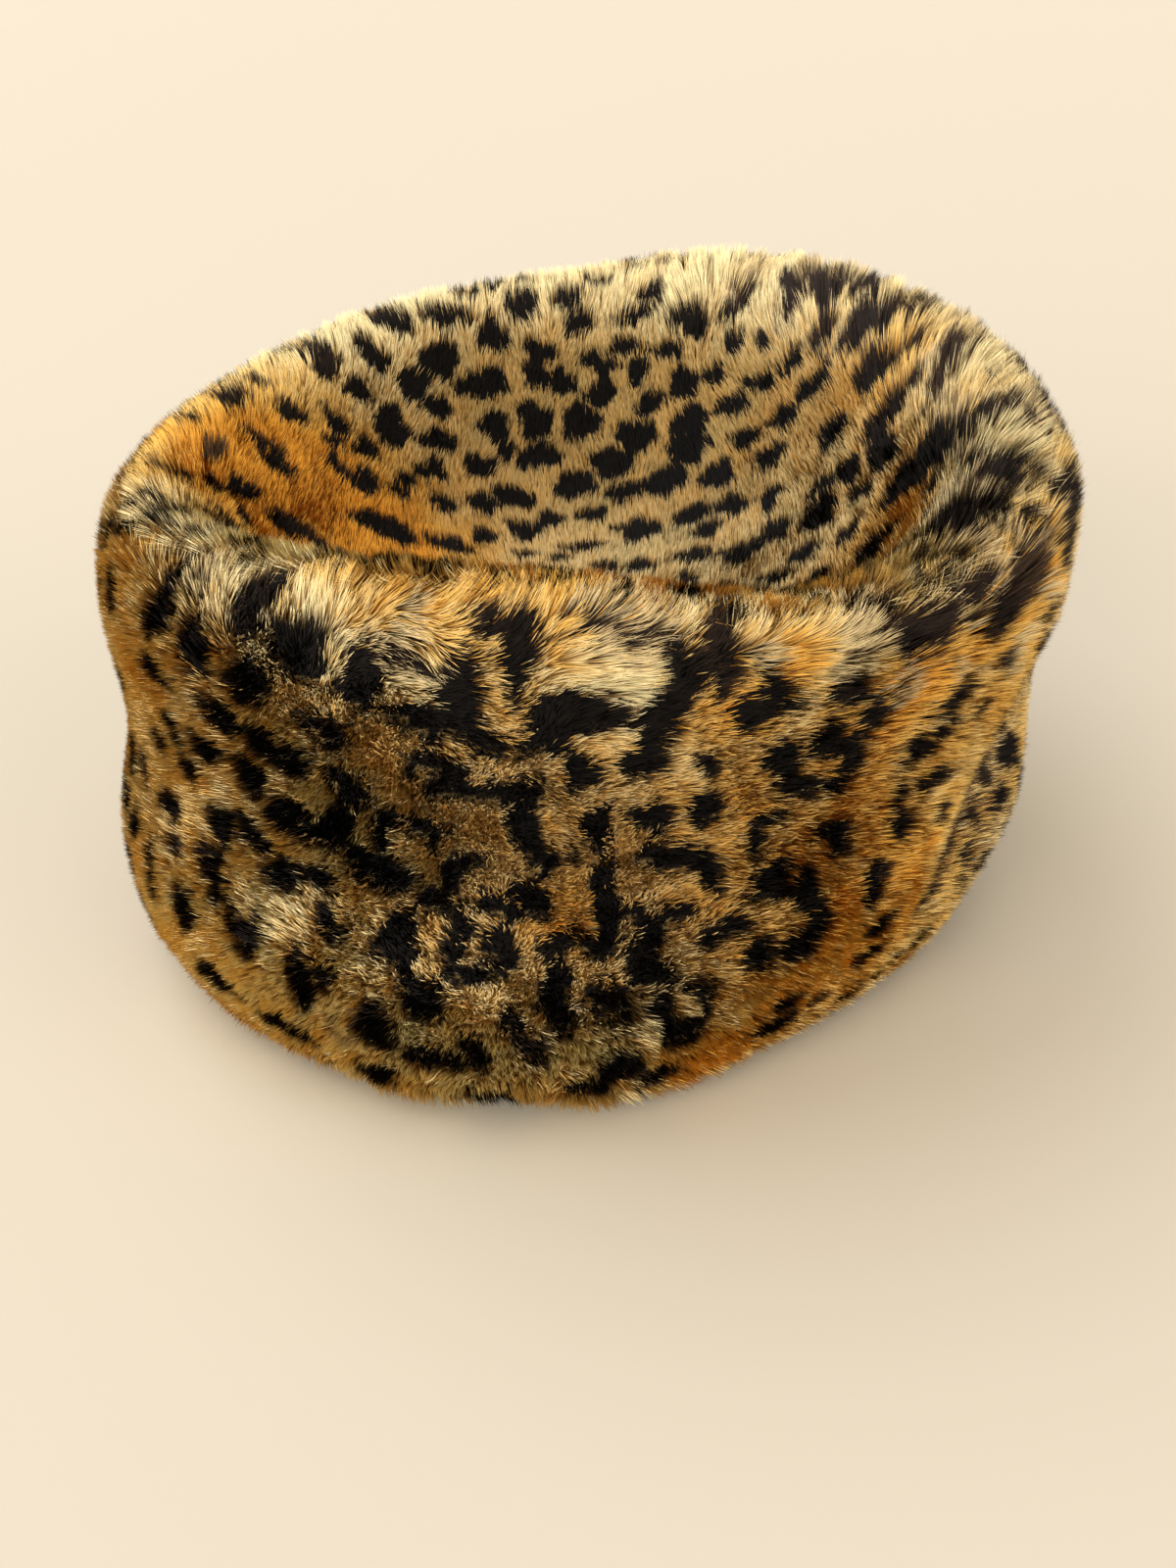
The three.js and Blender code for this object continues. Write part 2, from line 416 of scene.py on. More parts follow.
# The print's marks on the band. at is the angle from the front towards the right, up the height, and tip how
# far the mark's right end is raised, in degrees and millimetres. ink is 1 for black and less for brown.
BAND_MARKS = [
    # at, up, wide, tall, tip, ink
    (-63, 58, 6, 9, 0, 0.9),
    (-61, 102, 8, 10, 0, 0.9),
    (-57, 39, 4.5, 13, 15, 0.95),
    (-54, 56, 10, 7, 0, 0.85),
    (-53.5, 72, 6, 6, 0, 0.9),
    (-52.3, 49, 7, 5, 0, 0.9),
    (-49.5, 92.5, 11, 6, 0, 0.85),
    (-49, 79, 7, 7, 0, 0.95),
    (-49, 37, 6.5, 12, 10, 0.95),
    (-47.7, 109, 8.5, 18, -25, 0.9),
    (-47.5, 71, 7, 7, 0, 0.95),
    (-45.5, 51, 7, 7, 0, 0.9),
    (-43.5, 46.5, 5, 8, 0, 0.95),
    (-45, 22, 14, 6, 0, 0.95),
    (-43.3, 60, 9, 9, 0, 1),
    (-43, 78.5, 9, 7, 0, 1),
    (-41.5, 102, 10, 12, 15, 0.95),
    (-39, 88.5, 13, 6.5, -15, 1),
    (-38.7, 39, 10, 7, 0, 0.95),
    (-40.7, 43, 4, 5, 0, 0.95),
    (-36.7, 43, 3.5, 5, 0, 0.95),
    (-38, 62, 9, 7.5, 0, 1),
    (-36.3, 76.5, 9.5, 9, 0, 1),
    (-35, 17, 16, 6, 0, 0.95),
    (-34.3, 99, 9, 10, 0, 0.8),
    (-34, 114, 16, 8, 42, 0.9),
    (-34, 86.5, 7, 5.5, 0, 1),
    (-33.9, 55.5, 9.5, 7, 0, 1),
    (-29, 57, 9, 4.5, -20, 1),
    (-32.3, 69.5, 9, 8, 0, 1),
    (-26, 71, 8, 9, -20, 1),
    (-29, 67, 10, 5, 0, 0.95),
    (-31, 34, 7, 13, 0, 0.9),
    (-28, 37.5, 4, 6, 0, 0.9),
    (-30.8, 83, 10.5, 6, -5, 1),
    (-27.8, 107.5, 12, 12.5, 0, 1),
    (-27.6, 48.5, 8.5, 6, -28, 0.95),
    (-26, 91.5, 12, 5, -20, 0.78),
    (-24, 12, 10, 6, 0, 0.95),
    (-24, 79.5, 10, 6.5, -28, 1),
    (-23, 101, 7, 5, 20, 1),
    (-22.5, 27, 8, 12, -10, 0.82),
    (-21.8, 62, 14.5, 9, -14, 1),
    (-20.8, 104, 8.5, 13, -10, 1),
    (-19.8, 47.5, 9, 12, -25, 1),
    (-18, 73.5, 14, 5, -5, 1),
    (-21, 70.5, 5, 6, 0, 1),
    (-15.2, 70.5, 4.5, 6, 0, 0.95),
    (-17, 36, 10, 9, -25, 0.95),
    (-16.5, 20, 13, 5.5, -15, 0.9),
    (-15.2, 56.5, 8, 7, 0, 1),
    (-14, 86, 10, 7, 0, 0.95),
    (-13.2, 63.5, 6, 6.5, 0, 0.95),
    (-11.3, 65.5, 6.5, 4, -10, 0.95),
    (-12.5, 52, 4.5, 5, 0, 1),
    (-13.6, 46.5, 4.5, 10, 0, 1),
    (-11.7, 42, 11, 4.5, 5, 1),
    (-8.8, 47.5, 7, 7.5, 0, 1),
    (-12, 81, 14, 4.5, 0, 1),
    (-11.8, 22.5, 5.5, 11, 20, 0.85),
    (-11, 7.5, 12, 5, 0, 0.95),
    (-11, 104, 8, 15, 0, 1),
    (-13.5, 96, 18, 7.5, 0, 1),
    (-13.5, 110, 16, 5, -12, 0.92),
    (-8.2, 116, 6.5, 6, 0, 0.9),
    (-6.5, 120.5, 9, 4, 0, 0.78),
    (-8.5, 56, 8.5, 5.5, -12, 1),
    (-6.2, 60.5, 6, 3.5, 0, 1),
    (-4.8, 57.5, 5.5, 7.5, 0, 1),
    (-8.4, 91, 6, 5, 0, 1),
    (-7.8, 31.5, 6, 6.5, 0, 0.82),
    (-6, 24.5, 5.5, 9, 20, 0.82),
    (-7, 81, 14, 4.5, 0, 1),
    (-5.6, 73, 5.5, 13, 0, 1),
    (-4, 66.5, 7.5, 5.5, 0, 1),
    (-4.5, 112, 9, 9, 0, 0.95),
    (-5.5, 105, 5, 13, 0, 1),
    (-4, 47.5, 3.5, 4, 0, 0.85),
    (-3.3, 91, 11, 4.5, 0, 1),
    (-3, 42, 6, 6.5, 0, 1),
    (-3.4, 37, 5.5, 8, 0, 0.9),
    (-2.4, 32.5, 6.5, 6, 0, 0.88),
    (-2.3, 49.5, 9, 5.5, 0, 1),
    (-0.9, 67.5, 3.5, 3.5, 0, 0.85),
    (0, 12.5, 9, 6, 0, 0.9),
    (0.4, 85, 5.5, 9, 0, 1),
    (0.5, 97.5, 19, 8.5, 0, 1),
    (1.8, 48.5, 7.5, 7, 0, 1),
    (1.9, 73, 6.5, 8.5, 0, 1),
    (2.4, 62, 4.5, 8, 0, 0.95),
    (2.6, 55.5, 5, 10.5, 0, 1),
    (2.4, 37, 7, 6.5, 0, 0.88),
    (3, 34, 9, 5, 15, 0.85),
    (3.6, 18, 11, 7, 0, 0.95),
    (5, 53.5, 8, 4.5, 0, 1),
    (5.5, 113.5, 13, 4, -10, 0.85),
    (5.8, 119.5, 6, 5, 0, 0.9),
    (5.8, 45, 7, 7.5, 0, 0.95),
    (7, 40, 11, 5.5, -10, 0.9),
    (6.8, 88, 9, 9, 0, 1),
    (7.3, 50.5, 7.5, 6, 0, 1),
    (7.6, 74.5, 8, 6, -20, 1),
    (7.5, 12, 10, 6, 0, 0.95),
    (8, 95, 9, 10, 0, 1),
    (8, 31.5, 6, 7.5, 0, 0.95),
    (8.8, 26.5, 5.5, 6, 0, 0.95),
    (9.3, 65.5, 14, 5, -8, 1),
    (10.3, 104, 8, 17, 0, 0.97),
    (10.3, 53, 7, 5, 0, 1),
    (11.3, 23.5, 8, 7, 0, 1),
    (12.4, 34.5, 6, 4.5, 0, 0.95),
    (13.2, 29.5, 3.5, 8, 0, 1),
    (13.2, 74.5, 7.5, 7.5, 0, 1),
    (13.4, 61, 5, 10, 20, 1),
    (13.4, 84.5, 6.5, 6, 0, 0.95),
    (13.6, 45.5, 5.5, 5, 0, 0.95),
    (15, 108, 8, 15, 0, 0.8),
    (16.5, 47.5, 8, 5.5, 10, 0.95),
    (17.3, 93, 6.5, 7, 0, 1),
    (20.5, 97.5, 7.5, 13, 25, 1),
    (19.2, 66, 4, 10, 0, 1),
    (21, 69.5, 7, 4, 0, 1),
    (19.2, 38.5, 7.5, 9, 30, 0.97),
    (21, 57.5, 8, 4.5, 0, 1),
    (21.2, 53, 10, 5.5, 0, 1),
    (25.3, 50.5, 6, 12, 15, 1),
    (27, 42.5, 6.5, 7, 0, 1),
    (24.5, 38, 12, 7.5, 15, 0.92),
    (22, 82.5, 8, 7.5, -30, 1),
    (24, 76, 10, 5.5, -15, 1),
    (28.5, 74, 8, 4.5, 10, 1),
    (29.7, 79.5, 6.5, 9, 0, 1),
    (26.8, 85, 9, 8, 0, 1),
    (22.5, 15, 15, 6, 5, 0.95),
    (24, 21.5, 7.5, 4, 15, 0.88),
    (28.5, 16.5, 4, 5.5, 0, 0.88),
    (28.5, 96, 9, 8, 0, 0.9),
    (31.8, 88, 7, 11, 20, 0.92),
    (28.3, 63, 10, 4.5, -10, 0.97),
    (29.7, 58.5, 5.5, 6.5, 0, 0.97),
    (34.8, 46, 7.5, 10, 0, 1),
    (35.4, 107.5, 19, 11, -20, 0.82),
    (35.5, 12, 8, 5, 25, 0.95),
    (36.5, 24.5, 10, 4.5, 15, 0.92),
    (36.8, 33, 10, 5.5, 15, 0.92),
    (37.2, 63, 4.5, 11, 0, 1),
    (38.7, 57.5, 8, 5.5, 0, 1),
    (39, 75.5, 8.5, 7.5, 0, 1),
    (42.5, 77.5, 9, 4.5, 25, 0.97),
    (43, 64.5, 15, 4.5, -8, 0.88),
    (46, 54, 5.5, 6.5, 0, 0.85),
    (43, 85, 12, 6.5, 15, 0.92),
    (42.5, 13, 9, 4, 20, 0.88),
    (44.3, 108, 16, 9.5, -10, 0.82),
    (47, 29.5, 9, 4.5, 20, 0.88),
    (48, 16, 8, 4.5, 20, 0.9),
    (48.6, 100, 13, 8, 0, 0.86),
    (50.5, 88, 7, 6, 0, 0.85),
    (49, 77, 6, 4.5, 10, 0.85),
    (50.5, 39.5, 8, 4.5, 0, 0.82),
    (53.8, 105, 17.5, 11, 0, 0.76),
    (59.5, 110, 11, 8, 0, 0.86),
    (64.3, 105, 8, 8, 0, 0.86),
    (63, 92, 7, 5, 0, 0.85),
    (70, 111.5, 12, 8, 0, 0.89),
    (73, 114.5, 16, 8, 0, 0.89),
    (81.5, 116.5, 16, 9.5, 0, 0.81),
    (90.4, 118, 13.5, 9.5, 0, 0.79),
    (98, 121, 12, 8, 0, 0.79),
    (36.6, 105.5, 13.5, 12, 20, 0.92),
    (66, 103, 13.5, 11, 30, 0.89),
    (73, 109, 15, 11, 40, 0.86),
    (82, 111, 12, 8, 20, 0.86),
    (90, 114, 20, 7, 10, 0.86),
    (97, 118, 16, 7, 10, 0.84),
    (63, 62, 5, 9, 0, 0.85),
    (60, 50, 4, 9, 0, 0.85),
    (57, 41, 4, 8, 20, 0.85),
    (67, 72, 6, 7, 0, 0.88),
    (55, 33, 5, 6, 20, 0.85),
]

# Beyond these angles the band's marks are left to chance
BAND_CHART_FROM = -64
BAND_CHART_TO = 56
RIM_CHART_TO = 104
RIM_CHART_FROM_UP = 92
BAND_MARK_GAP = 1.6 * MM
ROSETTE_SHARE = 0.3

# The heights that the pile is combed by, and how far it leans from upright at each
COMB_UP = (6, 33, 60, 90, 112)
COMB_LEAN = (42, 34, 32, 38, 50)

# Over the hem's edge the pile turns to hang down, by so many degrees
HEM_TURN = 140

# The way the pile is combed at those heights, in degrees from level and to the right towards straight up
COMB = [
    # at, hem, belly, waist, shoulder, rim
    (-180, 75, 70, 60, 60, 65),
    (-120, 80, 75, 65, 65, 70),
    (-60, 80, 70, 66, 60, 55),
    (-30, 75, 68, 64, 48, 34),
    (-10, 80, 78, 74, 45, 28),
    (10, 85, 85, 80, 50, 36),
    (30, 80, 92, 92, 75, 68),
    (45, 60, 62, 62, 60, 66),
    (60, 40, 38, 38, 48, 62),
    (120, 60, 50, 45, 50, 65),
    (180, 75, 70, 60, 60, 65),
]

# Where the pile is longer and falls apart in tufts
SHAGGY = [
    # at, up, spread, amount
    (24, 108, 16, 0.9),
    (36, 106, 22, 1.0),
    (55, 107, 26, 1.1),
    (75, 113, 26, 1.2),
    (95, 119, 28, 1.3),
    (115, 122, 30, 1.4),
    (135, 124, 32, 1.4),
    (160, 122, 30, 1.0),
    (-44, 112, 18, 0.5),
    (-28, 113, 14, 0.7),
    (-16, 110, 12, 0.8),
    (3, 104, 15, 0.8),
    (-25, 22, 24, 0.4),
    (0, 24, 18, 0.5),
]

# Patches of the coat that are redder (below 0) or paler (above 0) than the rest. Some are painted light,
# marked below
BAND_PATCHES = [
    # at, up, spread, shift
    (15, 12, 10, -0.3),
    (56.5, 105, 9, -0.3),
    (46, 98, 10, -0.28),
    (35, 93, 9, -0.25),
    (42, 106, 8, 0.2),
    (30, 103, 7, 0.2),
    # Painted highlight along the lit lip of the crease on the right
    (56, 60, 4, 0.12),
    (53, 52, 4, 0.12),
    (49.5, 45, 4, 0.12),
    (46.5, 38, 4, 0.12),
    # Further redder and paler patches
    (30, 22, 22, -0.12),
    (42, 36, 24, -0.14),
    (55, 62, 20, -0.12),
    (58, 92, 18, -0.16),
    (36, 92, 14, -0.2),
    (22, 106, 6, -0.28),
    (27, 106, 8, 0.16),
    (-7.5, 102, 7, -0.14),
    (0, 118, 12, -0.22),
    (-3, 55, 9, -0.16),
    (16, 98, 10, -0.14),
    (-44, 112, 10, 0.12),
    (-34, 113, 10, 0.16),
    (-24, 110, 9, 0.2),
    (-15, 107, 8, 0.2),
    (-30, 119, 8, -0.12),
    (-18, 119, 10, -0.16),
    (3, 105, 12, 0.2),
    (-24, 66, 18, 0.12),
    (-26, 84, 18, 0.1),
    (-9, 72, 16, 0.1),
    (-36, 46, 16, 0.06),
    (-40, 14, 14, 0.06),
    # Painted light: the lower left wall is made paler against its shade
    (-22, 24, 18, 0.14),
    (-6, 22, 14, 0.16),
    # Further redder and paler patches
    (6, 30, 14, 0.18),
    (25, 50, 20, -0.1),
    (36, 62, 22, -0.12),
    (20, 78, 18, -0.08),
    (70, 114, 26, 0.06),
    (100, 121, 30, 0.08),
    (135, 124, 34, 0.1),
]

# How much paler or darker the tips of the pile are here: partly bleached tips, partly painted light and
# shade, as marked below
BAND_BLEACH_AND_PAINTED_LIGHT = [
    # at, up, spread, amount
    # Painted light, with some real pale tips: the lower left wall and the hem face down into shade and are
    # made paler
    (-48, 30, 26, 0.15),
    (-30, 30, 26, 0.4),
    (-22, 14, 22, 0.45),
    (-4, 16, 20, 0.4),
    (15, 10, 14, 0.5),
    # Painted highlight along the lit lip of the crease on the right
    (56, 60, 4, 0.3),
    (53, 52, 4, 0.3),
    (49.5, 45, 4, 0.3),
    (46.5, 38, 4, 0.3),
    # Paler tips elsewhere on the wall
    (32, 24, 24, 0.26),
    (46, 36, 24, 0.26),
    (58, 70, 26, 0.22),
    (-24, 62, 14, 0.2),
    # Painted light on the hem at the left
    (-30, 6, 16, 0.3),
    # Painted shade at the hollow waist in front
    (-4, 66, 24, -0.2),
    (14, 70, 20, -0.1),
]

# Where dark hairs are strewn through the coat, and how many. Along the crease on the right they are painted
# shade, as marked below
BAND_GRIZZLE_AND_PAINTED_SHADE = [
    # at, up, spread, share
    (4, 40, 16, 0.06),
    (40, 98, 20, 0.08),
    (100, 118, 40, 0.10),
    # Painted shade: dark hairs fill the valley of the crease on the right
    (59.5, 62, 4.5, 0.9),
    (57.5, 54, 4.5, 0.95),
    (54.5, 47, 4.5, 0.95),
    (51.5, 40, 4.5, 0.95),
    (49, 33, 4.5, 0.8),
    # Painted shade, among real dark marks, on the wall just behind the crease
    (67, 64, 9, 0.35),
    (64, 54, 9, 0.4),
    (61, 45, 9, 0.4),
    (58, 37, 8, 0.35),
    (55, 29, 7, 0.3),
]


def tufts(points, size):
    """The number of the tuft that each point belongs to."""
    wobble = np.stack([ripple(points, 2.5 * size, seed) for seed in (21, 22, 23)], axis=1)
    cell = np.floor((points + 0.45 * size * wobble) / size).astype(int)
    cell -= cell.min(axis=0)
    spans = cell.max(axis=0) + 1
    number = (cell[:, 0] * spans[1] + cell[:, 1]) * spans[2] + cell[:, 2]
    return np.unique(number, return_inverse=True)[1].ravel()


def tuft_mean(values, number):
    """The middle of its tuft, for each point."""
    total = np.bincount(number)
    return np.stack([np.bincount(number, values[:, i]) / total for i in range(3)], axis=1)[number]


# How hairs gather: the sizes of the tufts, and how far each size pulls its hairs together
GATHERING = ((2.2 * MM, 0.34), (5.0 * MM, 0.26))
GATHER_SPREAD = (0.3, 1.3)
ROOT_DEPTH = 0.4 * MM
ROLL_SPREAD = 0.6
SHEEN_ALONG = 0.5
SHEEN_UP = (0, 0, 0.25)
SHEEN_SPREAD = 0.16


def hairs(root, normal, comb, lean, length, width, gather):
    """Hairs gathered in tufts, a pointed triangle each: their corners, and how they turn to the light."""
    count = len(root)
    tip = root + (normal * np.cos(lean)[:, None] + comb * np.sin(lean)[:, None]) * length[:, None]
    for size, pull in GATHERING:
        number = tufts(root, size)
        gathered = tuft_mean(tip, number)
        tip += (gathered - tip) * (gather * pull * rng.uniform(*GATHER_SPREAD, count))[:, None]
    run = unit(tip - root)
    side = unit(np.cross(run, normal))
    roll = rng.normal(0, ROLL_SPREAD, count)
    side = side * np.cos(roll)[:, None] + np.cross(run, side) * np.sin(roll)[:, None]
    half = side * (0.5 * width)[:, None]
    base = root - normal * ROOT_DEPTH
    corners = np.stack([base - half, base + half, tip], axis=1)
    face = np.cross(corners[:, 1] - corners[:, 0], corners[:, 2] - corners[:, 0])
    wrong = (face * normal).sum(axis=1) < 0
    corners[wrong] = corners[wrong][:, (1, 0, 2)]
    turned = unit(normal + SHEEN_ALONG * run + SHEEN_UP + rng.normal(0, SHEEN_SPREAD, (count, 3)))
    return corners, turned


ROOT_HEIGHT = 0.02
SLIVER = 0.004
FLOOR_CLEARANCE = 0.15 * MM


def fur_piece(name, corners, turned, tone, bleach_and_painted_light):
    """One mesh of hairs. The map OFBake holds each hair's shade across and its length upwards; a tip's height
    on the map is how pale the tip is, from bleach and from painted light and shade.
    """
    corners[:, :, 2] = np.maximum(corners[:, :, 2], FLOOR_CLEARANCE)
    count = len(corners)
    mesh = bpy.data.meshes.new(name)
    mesh.vertices.add(count * 3)
    mesh.vertices.foreach_set("co", corners.astype(np.float32).ravel())
    mesh.loops.add(count * 3)
    mesh.loops.foreach_set("vertex_index", np.arange(count * 3, dtype=np.int32))
    mesh.polygons.add(count)
    mesh.polygons.foreach_set("loop_start", np.arange(0, count * 3, 3, dtype=np.int32))
    mesh.polygons.foreach_set("use_smooth", np.ones(count, bool))
    across = np.stack([tone - SLIVER, tone + SLIVER, tone], axis=1)
    upwards = np.full((count, 3), ROOT_HEIGHT)
    upwards[:, 2] = bleach_and_painted_light
    layer = mesh.uv_layers.new(name="OFBake")
    layer.data.foreach_set("uv", np.stack([across, upwards], axis=2).astype(np.float32).ravel())
    mesh.update()
    mesh.normals_split_custom_set_from_vertices(np.repeat(turned, 3, axis=0).astype(np.float32))
    mesh.materials.append(fur)
    piece = bpy.data.objects.new(name, mesh)
    bpy.context.scene.collection.objects.link(piece)
    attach(piece, "root")


fur = bpy.data.materials.new("fur")
fur.use_nodes = True
nodes = fur.node_tree.nodes
links = fur.node_tree.links
shader = nodes["Principled BSDF"]
shader.inputs["Specular IOR Level"].default_value = 0.1
hair_map = nodes.new("ShaderNodeUVMap")
hair_map.uv_map = "OFBake"
split = nodes.new("ShaderNodeSeparateXYZ")
links.new(hair_map.outputs["UV"], split.inputs["Vector"])
colour = nodes.new("ShaderNodeGroup")
colour.node_tree = hair_colour
links.new(split.outputs["X"], colour.inputs["Shade"])
links.new(split.outputs["Y"], colour.inputs["Height"])
links.new(colour.outputs["Colour"], shader.inputs["Base Color"])
gloss = nodes.new("ShaderNodeMapRange")
gloss.inputs["To Min"].default_value = 0.75
gloss.inputs["To Max"].default_value = 0.42
links.new(split.outputs["Y"], gloss.inputs["Value"])
links.new(gloss.outputs["Result"], shader.inputs["Roughness"])

root, normal = scatter(band_cloth, BAND_HAIRS)
angle = np.degrees(np.arctan2(root[:, 0], -root[:, 1]))
height = root[:, 2] / MM

# How the pile is combed, smoothly and then with the wisps of a worn coat
table = np.array(COMB, float)
columns = np.stack([np.interp(angle, table[:, 0], table[:, i + 1]) for i in range(len(COMB_UP))], axis=1)
row = np.clip(np.searchsorted(COMB_UP, height) - 1, 0, len(COMB_UP) - 2)
low_up, high_up = np.array(COMB_UP)[row], np.array(COMB_UP)[row + 1]
share = np.clip((height - low_up) / (high_up - low_up), 0, 1)
every = np.arange(BAND_HAIRS)
combed = columns[every, row] * (1 - share) + columns[every, row + 1] * share
combed -= HEM_TURN * (1 - step(1, 8, height))
lean = np.interp(height, COMB_UP, COMB_LEAN)
rim = step(88, 112, height)
SEEN_SHARE = (0.5, 1.05)
SHAG_LEAN = 8


def comb_direction(normal, combed):
    """The way the pile lies on the wall, from the comb's angle there."""
    right = unit(np.cross((0, 0, 1), normal) + 1e-9)
    upwards = np.cross(normal, right)
    turn = np.radians(combed)[:, None]
    return right * np.cos(turn) + upwards * np.sin(turn)


def seen_at(root, normal, comb, lean, length):
    """Where a hair shows on the pile's surface."""
    lean = np.radians(lean)[:, None]
    reach = length * rng.uniform(*SEEN_SHARE, len(root))
    return root + (normal * np.cos(lean) + comb * np.sin(lean)) * reach[:, None]


surface = pile_surface("side_band")


def outer_face(at, up):
    """The place and normal of the band's outer face at an angle and height."""
    a = math.radians(at)
    outwards = Vector((math.sin(a), -math.cos(a), 0))
    place, normal, _, _ = surface.ray_cast(Vector((0, 0, up * MM)) + outwards, -outwards)
    return place, normal


def patch(points, place, spread):
    """1 at a place, and falling off around it."""
    return np.exp(-((points - np.array(place)) ** 2).sum(axis=1) / (spread * MM) ** 2)


shag = np.zeros(BAND_HAIRS)
for at, up, spread, amount in SHAGGY:
    shag = np.maximum(shag, amount * patch(root, outer_face(at, up)[0], spread))
length = (HAIR_LENGTH + RIM_LENGTH * rim + SHAG_LENGTH * shag) * MM * rng.uniform(*LENGTH_SPREAD, BAND_HAIRS)
lean += SHAG_LEAN * shag
seen = seen_at(root, normal, comb_direction(normal, combed), lean, length)

marks = []
for at, up, *look in BAND_MARKS:
    place, face = outer_face(at, up)
    marks.append(mark_at(place, face, np.cross((0, 0, 1), face), *look))
charted = (angle > BAND_CHART_FROM) & (angle < BAND_CHART_TO)
charted |= (angle > 0) & (angle < RIM_CHART_TO) & (height > RIM_CHART_FROM_UP)
free = np.flatnonzero(~charted)
marks += chance_marks(seen[free], normal[free], marks, BAND_MARK_GAP, ROSETTE_SHARE)
dark, black = printed(seen, marks)


# The wool's shades: between the marks, and in a mark by its ink
WOOL_COAT = 0.36
WOOL_INK = 0.74
WOOL_BLACK = 0.22


def dye(cloth, depth, marks):
    """Prints the cloth under the pile as well, in the attribute shade."""
    places, normals = cloth_places(cloth)
    dark, black = printed(places + normals * depth, marks)
    shade = np.where(dark > 0.5, WOOL_INK + WOOL_BLACK * black, WOOL_COAT)
    cloth.data.attributes.new("shade", "FLOAT", "POINT").data.foreach_set("value", shade.astype(np.float32))


dye(band_cloth, BAND_PILE_DEPTH, marks)

# The wisps of a worn coat turn the comb and the lean by so many degrees, in waves of these lengths
BROAD_WISP = 24 * MM
FINE_WISP = 8 * MM
LEAN_WISP = 12 * MM
BIG_TUFT = 7 * MM
GATHERED = 0.8
combed += 16 * ripple(root, BROAD_WISP, 31) + 10 * ripple(root, FINE_WISP, 32) + rng.normal(0, 9, BAND_HAIRS)
lean += 7 * ripple(root, LEAN_WISP, 33) + rng.normal(0, 7, BAND_HAIRS)
big_tuft = tufts(root, BIG_TUFT)
combed += shag * 24 * rng.normal(size=big_tuft.max() + 1)[big_tuft]
width = rng.uniform(*HAIR_WIDTH, BAND_HAIRS) * MM
gather = GATHERED + 1.0 * shag
hair, turned = hairs(root, normal, comb_direction(normal, combed), np.radians(lean), length, width, gather)

# The coat's shade drifts over the band, and differs a little from tuft to tuft and from hair to hair
DRIFT_WAVE = 20 * MM
DRIFT = 0.06
HAIR_DIFFERENCE = 0.065
SMALL_TUFT = 3 * MM
TUFT_DIFFERENCE = 0.05
BAND_GRIZZLE_SHARE = 0.03
tone = COAT_SHADE + DRIFT * ripple(root, DRIFT_WAVE, 34) + rng.normal(0, HAIR_DIFFERENCE, BAND_HAIRS)
small_tuft = tufts(root, SMALL_TUFT)
tone += TUFT_DIFFERENCE * rng.normal(size=small_tuft.max() + 1)[small_tuft]
for at, up, spread, shift in BAND_PATCHES:
    tone += shift * patch(seen, outer_face(at, up)[0], spread)
tone = np.clip(tone, *COAT_SHADES)
# Dark hairs strewn through the coat, with painted shade along the crease
grizzle_and_shade = np.full(BAND_HAIRS, BAND_GRIZZLE_SHARE)
for at, up, spread, share in BAND_GRIZZLE_AND_PAINTED_SHADE:
    grizzle_and_shade += share * patch(seen, outer_face(at, up)[0], spread)

# Some shaggy tufts are dark with pale tips
TIPPED_SHADE = 0.70
TIPPED_TUFTS = 0.34
TIPPED_HAIRS = 0.8
DARK_HAIR_SHADES = (0.74, 0.84)
PRINT_EDGE = (0.15, 0.85)
PALEST_INK = 0.6
INK_SHADE = 0.735
INK_DEPTH = 0.25
INK_SPREAD = (-0.03, 0.02)


def dyed_shades(tone, is_shaggy, tuft, grizzle_and_shade, dark, black):
    """The coat's shades with tipped tufts, dark hairs strewn through it, some of them painted shade, and the
    print.
    """
    count = len(tone)
    tuft_chance = rng.random(tuft.max() + 1)[tuft]
    is_tipped = is_shaggy & (tuft_chance < TIPPED_TUFTS) & (rng.random(count) < TIPPED_HAIRS)
    tone = np.where(is_tipped, TIPPED_SHADE, tone)
    is_dark_hair = rng.random(count) < grizzle_and_shade
    tone = np.where(is_dark_hair, rng.uniform(*DARK_HAIR_SHADES, count), tone)
    is_dark = dark > rng.uniform(*PRINT_EDGE, count)
    ink = INK_SHADE + INK_DEPTH * step(0.3, 0.9, dark) * (black - PALEST_INK) / (1 - PALEST_INK)
    ink += rng.uniform(*INK_SPREAD, count)
    return np.where(is_dark, np.clip(ink, *INK_SHADES), tone)


BAND_BLEACH = 0.72
SHAG_BLEACH = 0.2
BLEACH_SPREAD = 0.06
tone = dyed_shades(tone, shag > 0.35, big_tuft, grizzle_and_shade, dark, black)
# How pale each tip is: the coat's bleach, paler in the shag, with the patches of painted light and shade
# above
bleach_and_painted_light = BAND_BLEACH + SHAG_BLEACH * np.clip(shag, 0, 1) + rng.normal(0, BLEACH_SPREAD, BAND_HAIRS)
for at, up, spread, amount in BAND_BLEACH_AND_PAINTED_LIGHT:
    bleach_and_painted_light += amount * patch(seen, outer_face(at, up)[0], spread)
bleach_and_painted_light = np.clip(bleach_and_painted_light, *BLEACH_RANGE)

QUARTERS = {"front": 0, "right": 90, "back": 180, "left": -90}
for side, middle in QUARTERS.items():
    near = np.abs((angle - middle + 180) % 360 - 180) < 45
    fur_piece(f"band_fur_{side}", hair[near], turned[near], tone[near], bleach_and_painted_light[near])

